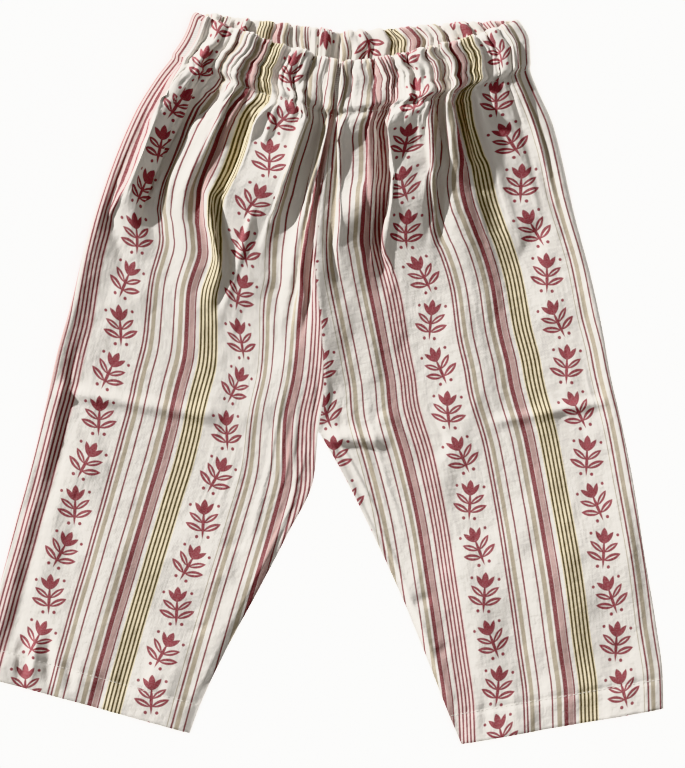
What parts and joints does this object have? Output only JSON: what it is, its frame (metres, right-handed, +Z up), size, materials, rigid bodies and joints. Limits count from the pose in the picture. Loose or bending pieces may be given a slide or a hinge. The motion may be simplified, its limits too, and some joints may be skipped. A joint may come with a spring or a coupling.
{
  "type": "elastic-waist trousers",
  "caption": "Small child's pull-on trousers in striped woven cotton, with a gathered elastic casing at the waist and turned-up hems, lying flat on their back.",
  "frame": {"origin": "centre of the underside's bounding box, on the surface that the trousers lie on", "axes": "+Y points from the hems to the waist, +X to the wearer's left, +Z up out of the front"},
  "size_m": [0.4154, 0.4408, 0.0249],
  "materials": {
    "striped_cotton": "plain-woven cotton, cream with printed red, pink, tan and olive stripes and dusty red sprigs, matt",
    "elastic_webbing": "white woven elastic, ribbed, matt"
  },
  "bodies": {
    "root": {"leg_right": "striped_cotton", "leg_left": "striped_cotton", "casing_right": "striped_cotton", "casing_left": "striped_cotton", "hem_right": "striped_cotton", "hem_left": "striped_cotton", "elastic": "elastic_webbing"}
  },
  "joints": []
}
